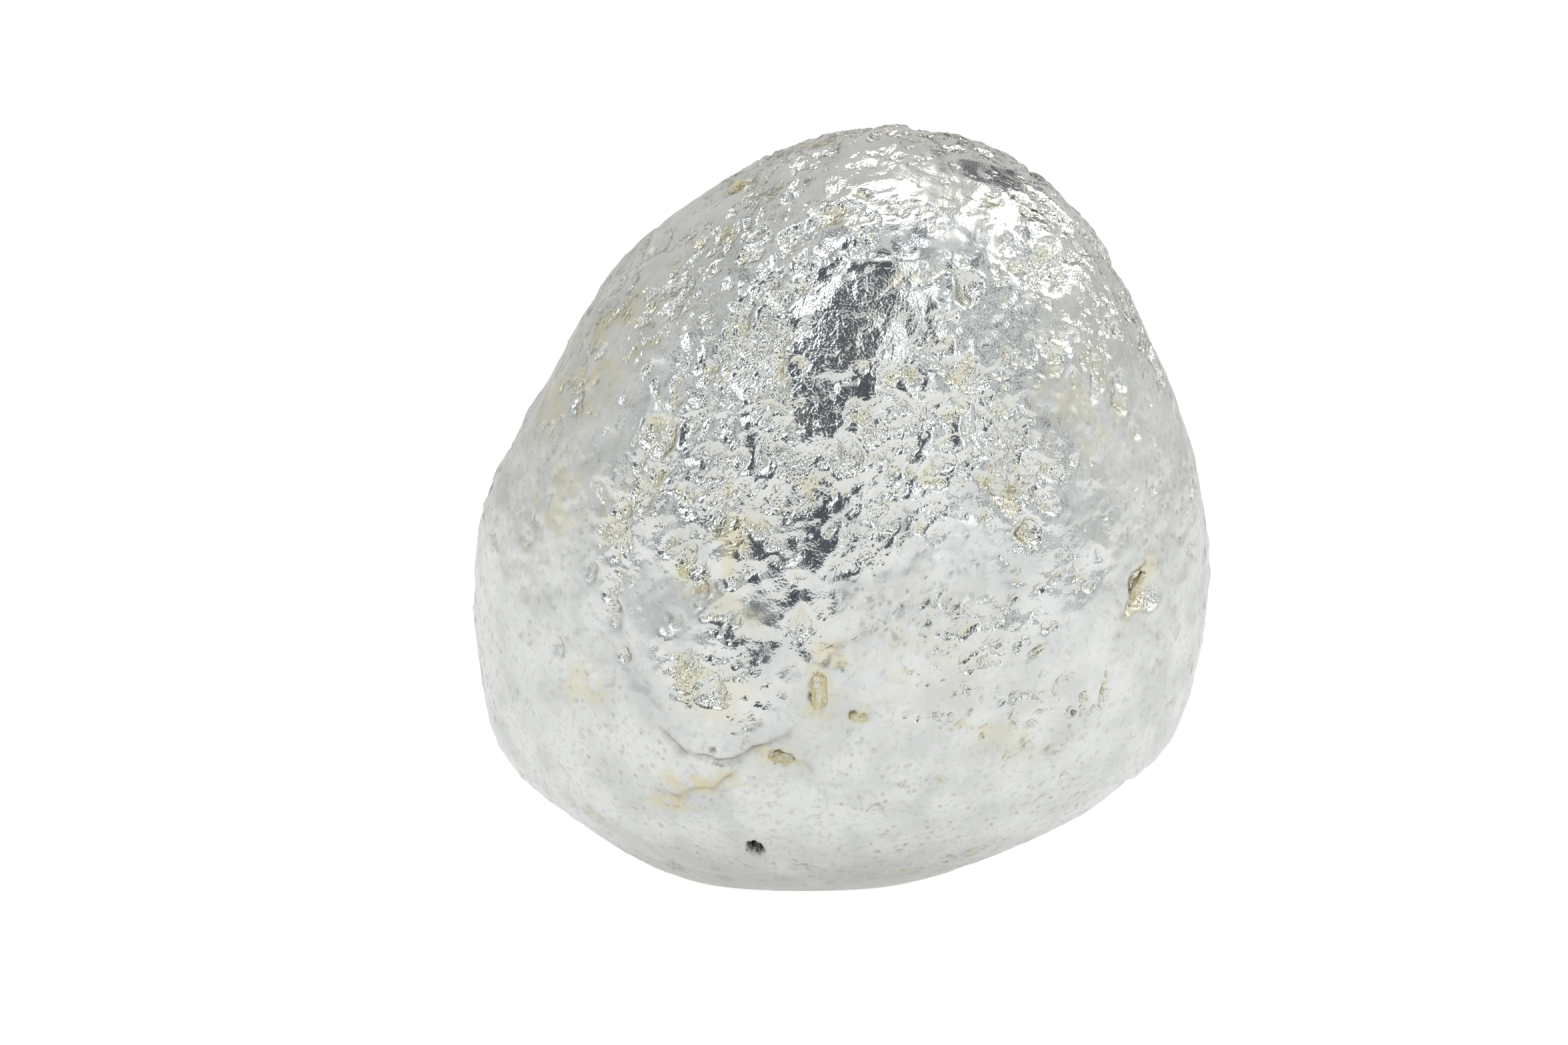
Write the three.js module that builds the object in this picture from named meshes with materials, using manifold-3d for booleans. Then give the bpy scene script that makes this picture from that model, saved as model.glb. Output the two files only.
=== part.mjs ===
// A nugget of bright white metal: a leaning egg with worn high ground, standing on a small flat foot,
// with grains of yellow mineral lodged in its pits.
// Millimetres, +Z up. The front faces -Y, and +X is to the right of someone looking at the front.

import * as THREE from 'three';
import { mergeVertices } from 'three/addons/utils/BufferGeometryUtils.js';
import Module from 'manifold-3d';

const wasm = await Module();
wasm.setup();

// Overall sizes of the lump.
const HEIGHT = 22.8;
const WIDTH = 22.0;
const DEPTH = 19.6;

// The widest section lies at this height above the foot.
const GIRTH_HEIGHT = 9.4;

// How much of the rounded underside the flat foot has worn away.
const FOOT_WEAR = 0.42;

// 0 gives a plain ellipsoid half. The top is drawn in towards its crown, and the base is filled out.
const TOP_TAPER = 0.21;
const BASE_FULLNESS = 0.29;

// How far the crown and the foot stand off the axis through the middle of the girth.
const CROWN_OFFSET = { x: 1.5, y: -3.2 };
const FOOT_OFFSET = { x: -1.25, y: 0.5 };

// Clearance left all round a grain in its seat.
const SEAT_GAP = 0.05;

// Facets: divisions along each edge of the starting icosahedron.
const BODY_DETAIL = 15;
const GRAIN_DETAIL = 2;
const PIT_DETAIL = 2;

// A grain's surface rises and falls by this share of its size, in waves this close together.
const KNOBBLE = { share: 0.07, across: 5, along: 4 };

// Step, in degrees, used to measure how the skin slopes.
const SLOPE_STEP = 0.5;

// Vertices of the starting shapes that lie closer together than this are one vertex.
const MERGE_DISTANCE = 1e-5;

// Places on the skin are given in degrees. Longitude 0 is the front, 90 the right and -90 the left.
// Latitude 0 is the girth, 90 the crown and -90 the foot.

// Broad swells (positive rise) and hollows (negative rise) that fade over their spread in degrees.
// In turn: right shoulder, left brow, left hip, left heel, right heel, right hip, the lobe at the
// lower left of the front, and the brow at the top of the front.
const SWELLS = [
  { longitude: 90, latitude: 40, spread: 15, rise: -0.26 },
  { longitude: -90, latitude: 27, spread: 13, rise: -0.54 },
  { longitude: -90, latitude: -28, spread: 15, rise: 0.3 },
  { longitude: -90, latitude: -50, spread: 15, rise: -0.4 },
  { longitude: 90, latitude: -57, spread: 12, rise: -0.48 },
  { longitude: 80, latitude: -20, spread: 20, rise: 0.16 },
  { longitude: -24, latitude: -20, spread: 15, rise: 0.5 },
  { longitude: 6, latitude: 52, spread: 14, rise: 0.45 },
];

// Round and oval pits. Across and along are half sizes on the skin; along points up the face
// before the turn, and the turn is anticlockwise for someone looking at the skin.
// In turn: the oval pit, the pinhole, the left pore and the right pore.
const PITS = [
  { longitude: 54, latitude: 0, across: 0.8, along: 0.62, depth: 0.32, turn: -25 },
  { longitude: -14.5, latitude: -46, across: 0.3, along: 0.24, depth: 0.55, turn: 15 },
  { longitude: -34, latitude: 24, across: 0.6, along: 0.54, depth: 0.24, turn: 0 },
  { longitude: 20.5, latitude: 32, across: 0.44, along: 0.4, depth: 0.18, turn: 0 },
];

// The colour and roughness of each kind of mineral.
const MINERALS = {
  straw: { color: 0xd2c58c, roughness: 0.6 },
  amber: { color: 0xd9a94a, roughness: 0.4 },
  olive: { color: 0xaa9c55, roughness: 0.5 },
  tan: { color: 0xb09a6c, roughness: 0.7 },
};

// Grains. Half sizes are as for a pit, thick is the half thickness, and sunk is how far the
// grain's middle lies below the skin. Square is 1 for a rounded grain and less for a blocky one.
const GRAINS = [
  {
    name: 'bar_grain', mineral: 'straw', longitude: -3.5, latitude: -12,
    across: 0.23, along: 0.58, thick: 0.2, sunk: 0.14, turn: 0, square: 0.7,
  },
  {
    name: 'lath_grain', mineral: 'amber', longitude: -9, latitude: -23,
    across: 0.18, along: 0.42, thick: 0.17, sunk: 0.12, turn: 78, square: 0.75,
  },
  {
    name: 'oval_pit_grain', mineral: 'olive', longitude: 53, latitude: 0,
    across: 0.17, along: 0.6, thick: 0.16, sunk: 0.3, turn: -43, square: 0.85,
  },
  {
    name: 'shoulder_grain', mineral: 'amber', longitude: -64.5, latitude: 64,
    across: 0.26, along: 0.34, thick: 0.18, sunk: 0.12, turn: 20, square: 0.9,
  },
  {
    name: 'round_grain', mineral: 'olive', longitude: -25, latitude: 4.5,
    across: 0.18, along: 0.19, thick: 0.16, sunk: 0.09, turn: 0, square: 1,
  },
  {
    name: 'tan_grain', mineral: 'tan', longitude: -22, latitude: 2,
    across: 0.16, along: 0.22, thick: 0.15, sunk: 0.1, turn: -60, square: 0.9,
  },
  {
    name: 'ledge_grain', mineral: 'straw', longitude: 3, latitude: -16.5,
    across: 0.14, along: 0.27, thick: 0.14, sunk: 0.09, turn: 84, square: 0.8,
  },
  {
    name: 'wedge_grain', mineral: 'straw', longitude: 0, latitude: -8,
    across: 0.13, along: 0.17, thick: 0.13, sunk: 0.08, turn: 50, square: 0.8,
  },
];

/** The unit direction at a longitude and a latitude in degrees. */
function directionAt(longitude, latitude) {
  const around = THREE.MathUtils.degToRad(longitude);
  const up = THREE.MathUtils.degToRad(latitude);
  return new THREE.Vector3(
    Math.sin(around) * Math.cos(up),
    -Math.cos(around) * Math.cos(up),
    Math.sin(up),
  );
}

/**
 * The point of the skin in a direction: one half of an egg above the girth and another below it,
 * each leaning along a parabola, and then lifted or lowered by the swells.
 */
function skinPoint(direction) {
  const above = direction.z >= 0;
  const share = Math.abs(direction.z);
  const offset = above ? CROWN_OFFSET : FOOT_OFFSET;
  const rise = (HEIGHT - GIRTH_HEIGHT) * share * (1 - TOP_TAPER * (1 - share));
  const fall = (GIRTH_HEIGHT + FOOT_WEAR) * share * (1 + BASE_FULLNESS * (1 - share));
  const point = new THREE.Vector3(
    (WIDTH / 2) * direction.x + offset.x * share ** 2,
    (DEPTH / 2) * direction.y + offset.y * share ** 2,
    above ? GIRTH_HEIGHT + rise : GIRTH_HEIGHT - fall,
  );
  for (const swell of SWELLS) {
    const middle = directionAt(swell.longitude, swell.latitude);
    const away = THREE.MathUtils.radToDeg(direction.angleTo(middle)) / swell.spread;
    point.addScaledVector(direction, swell.rise * Math.exp(-(away ** 2)));
  }
  return point;
}

/**
 * The frame of a place on the skin: its origin on the skin, z straight out of it, and y up the
 * face, turned anticlockwise by the place's turn.
 */
function skinFrame({ longitude, latitude, turn }) {
  const origin = skinPoint(directionAt(longitude, latitude));
  const right = skinPoint(directionAt(longitude + SLOPE_STEP, latitude)).sub(origin);
  const up = skinPoint(directionAt(longitude, latitude + SLOPE_STEP)).sub(origin);
  const out = new THREE.Vector3().crossVectors(right, up).normalize();
  right.normalize();
  up.crossVectors(out, right);
  const spin = new THREE.Matrix4().makeRotationZ(THREE.MathUtils.degToRad(turn));
  return new THREE.Matrix4().makeBasis(right, up, out).setPosition(origin).multiply(spin);
}

/** Move every vertex of a geometry to where a function of its position sends it. */
function reshape(geometry, move) {
  const positions = geometry.getAttribute('position');
  const vertex = new THREE.Vector3();
  for (let index = 0; index < positions.count; index += 1) {
    vertex.fromBufferAttribute(positions, index);
    const moved = move(vertex);
    positions.setXYZ(index, moved.x, moved.y, moved.z);
  }
  return geometry;
}

/** A closed solid made from a geometry whose shared vertices are merged. */
function toSolid(geometry) {
  geometry.deleteAttribute('normal');
  geometry.deleteAttribute('uv');
  const merged = mergeVertices(geometry, MERGE_DISTANCE);
  return new wasm.Manifold(new wasm.Mesh({
    numProp: 3,
    vertProperties: new Float32Array(merged.getAttribute('position').array),
    triVerts: new Uint32Array(merged.getIndex().array),
  }));
}

/** A geometry made from a solid, with flat facets. */
function toGeometry(solid) {
  const mesh = solid.getMesh();
  const geometry = new THREE.BufferGeometry();
  geometry.setAttribute('position', new THREE.BufferAttribute(mesh.vertProperties, 3));
  geometry.setIndex(new THREE.BufferAttribute(mesh.triVerts, 1));
  geometry.computeVertexNormals();
  return geometry;
}

/** The egg itself, before the foot is worn flat. */
function eggSolid() {
  const sphere = new THREE.IcosahedronGeometry(1, BODY_DETAIL);
  return toSolid(reshape(sphere, (vertex) => skinPoint(vertex.normalize())));
}

/** Everything below the plane that the nugget stands on. */
function groundSolid() {
  const block = new THREE.BoxGeometry(2 * WIDTH, 2 * DEPTH, HEIGHT);
  block.translate(0, 0, -HEIGHT / 2);
  return toSolid(block);
}

/** The hollow of a pit: half of an ellipsoid whose middle lies on the skin. */
function pitSolid(pit) {
  const sphere = new THREE.IcosahedronGeometry(1, PIT_DETAIL);
  sphere.scale(pit.across, pit.along, pit.depth);
  return toSolid(sphere.applyMatrix4(skinFrame(pit)));
}

/**
 * The shape of a grain in its own frame, with a margin added to each half size: a sphere whose
 * coordinates are drawn out towards the corners, with knobbles that start from the grain's own
 * longitude, so that no two grains are alike.
 */
function grainGeometry(grain, margin) {
  const half = new THREE.Vector3(grain.across, grain.along, grain.thick).addScalar(margin);
  const squareUp = (value) => Math.sign(value) * Math.abs(value) ** grain.square;
  const sphere = new THREE.IcosahedronGeometry(1, GRAIN_DETAIL);
  return reshape(sphere, (vertex) => {
    const acrossWave = Math.sin(KNOBBLE.across * vertex.x + grain.longitude);
    const alongWave = Math.cos(KNOBBLE.along * vertex.y - vertex.z);
    const size = 1 + KNOBBLE.share * acrossWave * alongWave;
    return new THREE.Vector3(
      size * half.x * squareUp(vertex.x),
      size * half.y * squareUp(vertex.y),
      size * half.z * squareUp(vertex.z),
    );
  });
}

/** The frame of a grain: its place on the skin, sunk to the middle of the grain. */
function grainFrame(grain) {
  const sink = new THREE.Matrix4().makeTranslation(0, 0, -grain.sunk);
  return skinFrame(grain).multiply(sink);
}

/** The seat of a grain: the grain's own shape with the clearance added all round. */
function seatSolid(grain) {
  return toSolid(grainGeometry(grain, SEAT_GAP).applyMatrix4(grainFrame(grain)));
}

/** The metal body with its flat foot, its pits and a seat for each grain. */
function bodyMesh() {
  let solid = eggSolid().subtract(groundSolid());
  for (const pit of PITS) {
    solid = solid.subtract(pitSolid(pit));
  }
  for (const grain of GRAINS) {
    solid = solid.subtract(seatSolid(grain));
  }
  const metal = new THREE.MeshStandardMaterial({ color: 0xdcdcd6, roughness: 0.22, metalness: 1 });
  const mesh = new THREE.Mesh(toGeometry(solid), metal);
  mesh.name = 'nugget_body';
  return mesh;
}

/** One grain of mineral, placed in its seat. */
function grainMesh(grain) {
  const { color, roughness } = MINERALS[grain.mineral];
  const mineral = new THREE.MeshStandardMaterial({ color, roughness, metalness: 0 });
  const mesh = new THREE.Mesh(toGeometry(toSolid(grainGeometry(grain, 0))), mineral);
  mesh.name = grain.name;
  mesh.applyMatrix4(grainFrame(grain));
  return mesh;
}

const nugget = new THREE.Group();
nugget.add(bodyMesh());
for (const grain of GRAINS) {
  nugget.add(grainMesh(grain));
}

// The origin is at the middle of the nugget's box, on the plane that it stands on.
const box = new THREE.Box3().setFromObject(nugget);
nugget.position.set(-(box.min.x + box.max.x) / 2, -(box.min.y + box.max.y) / 2, -box.min.z);
nugget.updateMatrixWorld(true);

export default nugget;
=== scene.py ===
"""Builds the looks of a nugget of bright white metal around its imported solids.

The lump is a leaning egg. Its high ground is worn smooth, its hollows are porous and sparkling,
and grains of yellow mineral are lodged in its pits. Sizes of the lump are in millimetres and
become metres where a mesh is made, and those of the studio are in metres. +Z is up, the front
faces -Y, and +X is to the right of someone looking at the front.
"""

import logging
import math
from collections.abc import Callable, Iterator, Sequence
from dataclasses import dataclass, field
from enum import Enum

import bpy
import numpy as np
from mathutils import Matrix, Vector


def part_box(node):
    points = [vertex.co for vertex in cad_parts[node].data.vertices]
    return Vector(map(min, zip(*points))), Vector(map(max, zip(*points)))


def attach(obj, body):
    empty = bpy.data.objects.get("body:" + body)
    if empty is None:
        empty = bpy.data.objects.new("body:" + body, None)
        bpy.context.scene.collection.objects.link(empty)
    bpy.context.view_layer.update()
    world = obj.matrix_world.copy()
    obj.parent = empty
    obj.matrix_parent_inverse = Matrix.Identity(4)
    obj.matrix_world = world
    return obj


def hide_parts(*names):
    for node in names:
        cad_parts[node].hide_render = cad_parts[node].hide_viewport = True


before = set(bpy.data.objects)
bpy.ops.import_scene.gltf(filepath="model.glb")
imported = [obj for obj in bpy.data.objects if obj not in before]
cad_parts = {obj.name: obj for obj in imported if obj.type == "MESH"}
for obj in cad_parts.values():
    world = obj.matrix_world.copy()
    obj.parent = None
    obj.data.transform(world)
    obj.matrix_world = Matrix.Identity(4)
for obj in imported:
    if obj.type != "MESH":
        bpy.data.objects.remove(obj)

LOG = logging.getLogger("nugget")
MM = 0.001
BODY_NODE = "nugget_body"
ROOT = "root"
OUT_OF_REACH = 99.0
WAVE_SPREAD = 0.29
STEPS_OF_CHANCE = 65536
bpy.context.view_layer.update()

Colour = tuple[float, float, float]


# ---------------------------------------------------------------- numbers on the skin


def unit(vectors: np.ndarray) -> np.ndarray:
    """Vectors brought to length 1 along their last axis."""
    return vectors / np.linalg.norm(vectors, axis=-1, keepdims=True)


def ease(low: float, high: float, value: np.ndarray) -> np.ndarray:
    """A smooth step: 0 up to low, 1 from high on, and the cubic 3t^2 - 2t^3 between."""
    share = np.clip((value - low) / (high - low), 0.0, 1.0)
    return share * share * (3.0 - 2.0 * share)


def soft_stop(value: np.ndarray, limit: float) -> np.ndarray:
    """The value kept within the limit either way: limit times tanh(value / limit)."""
    return limit * np.tanh(value / limit)


def direction_at(longitude: float, latitude: float) -> np.ndarray:
    """The unit direction at a longitude and latitude, 0, 0 being the front.

    Args:
        longitude: degrees round, anticlockwise from above.
        latitude: degrees up from the level.

    Returns:
        Its parts along X, Y and Z.
    """
    around, up = math.radians(longitude), math.radians(latitude)
    level = math.cos(up)
    return np.array((math.sin(around) * level, -math.cos(around) * level, math.sin(up)))


def hashed(cell: np.ndarray, seed: int) -> np.ndarray:
    """A repeatable whole number for each lattice cell, from products and shifts of its indices.

    Args:
        cell: whole-number indices, three to a cell.
        seed: picks one of many unrelated sets.

    Returns:
        An unsigned number for each cell.
    """
    mixed = (cell.astype(np.int64) * np.array((73856093, 19349663, 83492791))).astype(np.uint64)
    key = mixed[..., 0] ^ mixed[..., 1] ^ mixed[..., 2] ^ np.uint64(seed * 2654435761)
    for shift in (33, 29, 32):
        key = (key ^ (key >> np.uint64(shift))) * np.uint64(0xFF51AFD7ED558CCD)
    return key >> np.uint64(20)


def chance(cell: np.ndarray, seed: int) -> np.ndarray:
    """A repeatable number from 0 to 1 for each lattice cell."""
    return (hashed(cell, seed) % np.uint64(STEPS_OF_CHANCE)).astype(float) / STEPS_OF_CHANCE


CORNERS = np.array([(x, y, z) for x in (0, 1) for y in (0, 1) for z in (0, 1)])
NEIGHBOURS = np.array([(x, y, z) for x in (-1, 0, 1) for y in (-1, 0, 1) for z in (-1, 0, 1)])
PULLS = np.array(
    [(a, b, 0) for a in (1, -1) for b in (1, -1)]
    + [(a, 0, b) for a in (1, -1) for b in (1, -1)]
    + [(0, a, b) for a in (1, -1) for b in (1, -1)],
    float,
)
SKEW = np.array(((0.36, 0.48, -0.8), (-0.8, 0.6, 0.0), (0.48, 0.64, 0.6)))


def waves(points: np.ndarray, length: float, seed: int) -> np.ndarray:
    """Gradient noise: each lattice corner pulls along its own direction, blended by quintics.

    Args:
        points: places in millimetres.
        length: the lattice spacing in millimetres, which is about one wave.
        seed: picks the pattern.

    Returns:
        A value for each point, about -1 to 1.
    """
    place = (points @ SKEW.T) / length
    cell = np.floor(place).astype(np.int64)
    inside = place - cell
    blend = inside**3 * (inside * (inside * 6.0 - 15.0) + 10.0)
    total = np.zeros(len(points))
    for corner in CORNERS:
        pull = PULLS[(hashed(cell + corner, seed) % np.uint64(len(PULLS))).astype(int)]
        weight = np.prod(np.where(corner == 1, blend, 1.0 - blend), axis=1)
        total += weight * ((inside - corner) * pull).sum(axis=1)
    return total


def layered(points: np.ndarray, length: float, layers: int, fade: float, seed: int) -> np.ndarray:
    """Noise in layers, each half the length of the last and fade times its height.

    Args:
        points: places in millimetres.
        length: the longest wave in millimetres.
        layers: how many layers are added.
        fade: how much of its height each layer keeps.
        seed: picks the pattern.

    Returns:
        The sum, scaled so that its spread is about 1.
    """
    total, power = np.zeros(len(points)), 0.0
    for layer in range(layers):
        height = fade**layer
        total += height * waves(points, length / 2**layer, seed + 17 * layer)
        power += height * height
    return total / (WAVE_SPREAD * math.sqrt(power))


def centres(
    points: np.ndarray, spacing: float, seed: int
) -> Iterator[tuple[np.ndarray, np.ndarray]]:
    """Goes through the 27 lattice cells round each point, each with one jittered centre.

    Args:
        points: places in millimetres.
        spacing: the lattice spacing in millimetres.
        seed: picks the centres.

    Yields:
        A cell for each point, and the distance to its centre as a share of the spacing.
    """
    place = (points @ SKEW.T) / spacing
    cell = np.floor(place).astype(np.int64)
    for step in NEIGHBOURS:
        near = cell + step
        centre = near + np.stack([chance(near, seed + 101 * axis) for axis in (1, 2, 3)], axis=1)
        yield near, np.linalg.norm(place - centre, axis=1)


def scattered(
    points: np.ndarray,
    spacing: float,
    seed: int,
    shape: Callable[[np.ndarray, Callable[[int], np.ndarray]], np.ndarray],
) -> np.ndarray:
    """Adds up a shape round the jittered centres of a lattice.

    Args:
        points: places in millimetres.
        spacing: the lattice spacing in millimetres.
        seed: picks the centres.
        shape: takes the distance to a centre and a source of numbers that belong to that centre.

    Returns:
        The sum at each point.
    """
    total = np.zeros(len(points))
    for near, gap in centres(points, spacing, seed):
        total += shape(gap * spacing, lambda extra, near=near: chance(near, seed + 7 * extra))
    return total


def nearest(points: np.ndarray, spacing: float, seed: int) -> np.ndarray:
    """The distance to the nearest of the jittered lattice centres.

    Args:
        points: places in millimetres.
        spacing: the lattice spacing in millimetres.
        seed: picks the centres.

    Returns:
        A share of the spacing for each point.
    """
    best = np.full(len(points), np.inf)
    for _, gap in centres(points, spacing, seed):
        best = np.minimum(best, gap)
    return best


# ---------------------------------------------------------------- shader writing


class Wire:
    """A number on its way through a node tree. Arithmetic on it adds Math nodes."""

    def __init__(self, tree: "Weaver", socket: bpy.types.NodeSocket) -> None:
        """Wraps an output socket of a tree."""
        self.tree = tree
        self.socket = socket

    def _math(self, operation: str, first: "Wire | float", second: "Wire | float") -> "Wire":
        """One Math node on two values."""
        return self.tree.node("ShaderNodeMath", {"operation": operation}, {0: first, 1: second})

    def __add__(self, other: "Wire | float") -> "Wire":
        """self + other."""
        return self._math("ADD", self, other)

    def __radd__(self, other: float) -> "Wire":
        """other + self."""
        return self._math("ADD", other, self)

    def __sub__(self, other: "Wire | float") -> "Wire":
        """self - other."""
        return self._math("SUBTRACT", self, other)

    def __rsub__(self, other: float) -> "Wire":
        """other - self."""
        return self._math("SUBTRACT", other, self)

    def __mul__(self, other: "Wire | float") -> "Wire":
        """self * other."""
        return self._math("MULTIPLY", self, other)

    def __rmul__(self, other: float) -> "Wire":
        """other * self."""
        return self._math("MULTIPLY", other, self)

    def clamp(self) -> "Wire":
        """The value kept between 0 and 1."""
        settings = {"operation": "ADD", "use_clamp": True}
        return self.tree.node("ShaderNodeMath", settings, {0: self, 1: 0.0})

    def step(self, low: float, high: float) -> "Wire":
        """A smooth step of the value from 0 at low to 1 at high."""
        return self.tree.node(
            "ShaderNodeMapRange",
            {"interpolation_type": "SMOOTHSTEP"},
            {"Value": self, "From Min": low, "From Max": high, "To Min": 0.0, "To Max": 1.0},
        )


class Weaver:
    """Adds nodes to one node tree."""

    def __init__(self, tree: bpy.types.NodeTree) -> None:
        """Empties the tree, ready for new nodes."""
        self.tree = tree
        tree.nodes.clear()

    def node(
        self,
        kind: str,
        settings: dict[str, object] | None = None,
        inputs: dict[str | int, object] | None = None,
        output: str | int = 0,
    ) -> Wire:
        """Adds a node, sets its settings, then fills its sockets.

        Args:
            kind: the node's type.
            settings: its properties.
            inputs: a value or a Wire for each socket, by name or number.
            output: which output the result stands for.

        Returns:
            That output as a Wire.
        """
        made = self.tree.nodes.new(kind)
        for name, value in (settings or {}).items():
            setattr(made, name, value)
        for name, value in (inputs or {}).items():
            if isinstance(value, Wire):
                self.tree.links.new(value.socket, made.inputs[name])
            else:
                made.inputs[name].default_value = value
        return Wire(self, made.outputs[output]) if len(made.outputs) else Wire(self, None)

    def blend(self, share: Wire | float, first: Wire | Colour, second: Wire | Colour) -> Wire:
        """A colour that goes from the first to the second as share goes from 0 to 1."""
        ends = [end if isinstance(end, Wire) else (*end, 1.0) for end in (first, second)]
        return self.node(
            "ShaderNodeMix", {"data_type": "RGBA"}, {0: share, 6: ends[0], 7: ends[1]}, output=2
        )

    def skin_place(self) -> Wire:
        """The place on the piece in millimetres."""
        place = self.node("ShaderNodeTexCoord", output="Object")
        return self.node("ShaderNodeMapping", {}, {"Vector": place, "Scale": (1 / MM,) * 3})

    def noise(self, place: Wire, length: float, detail: float, rough: float = 0.5) -> Wire:
        """A noise from 0 to 1 whose longest wave is length millimetres."""
        return self.node(
            "ShaderNodeTexNoise",
            {},
            {"Vector": place, "Scale": 1 / length, "Detail": detail, "Roughness": rough},
        )

    def cells(self, place: Wire, spacing: float) -> Wire:
        """The soft distance to the nearest of many points, spacing millimetres apart."""
        return self.node(
            "ShaderNodeTexVoronoi",
            {"feature": "SMOOTH_F1"},
            {"Vector": place, "Scale": 1 / spacing, "Smoothness": 0.35},
        )

    def attribute(self, name: str) -> Wire:
        """A number stored on the piece's vertices."""
        return self.node("ShaderNodeAttribute", {"attribute_name": name}, output="Fac")

    def bump(self, height: Wire, depth: float) -> Wire:
        """Normals bent by a height of 0 to 1 that stands for depth millimetres."""
        inputs = {"Strength": 1.0, "Distance": depth * MM, "Height": height}
        return self.node("ShaderNodeBump", {}, inputs)

    def surface(self, inputs: dict[str | int, object]) -> None:
        """The material's Principled shader with these inputs, and its output."""
        shader = self.node("ShaderNodeBsdfPrincipled", {}, inputs)
        self.node("ShaderNodeOutputMaterial", {}, {"Surface": shader})


def new_material(name: str) -> tuple[bpy.types.Material, Weaver]:
    """A new empty material.

    Args:
        name: the material's name.

    Returns:
        The material, and what adds nodes to it.
    """
    material = bpy.data.materials.new(name)
    material.use_nodes = True
    return material, Weaver(material.node_tree)


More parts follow.
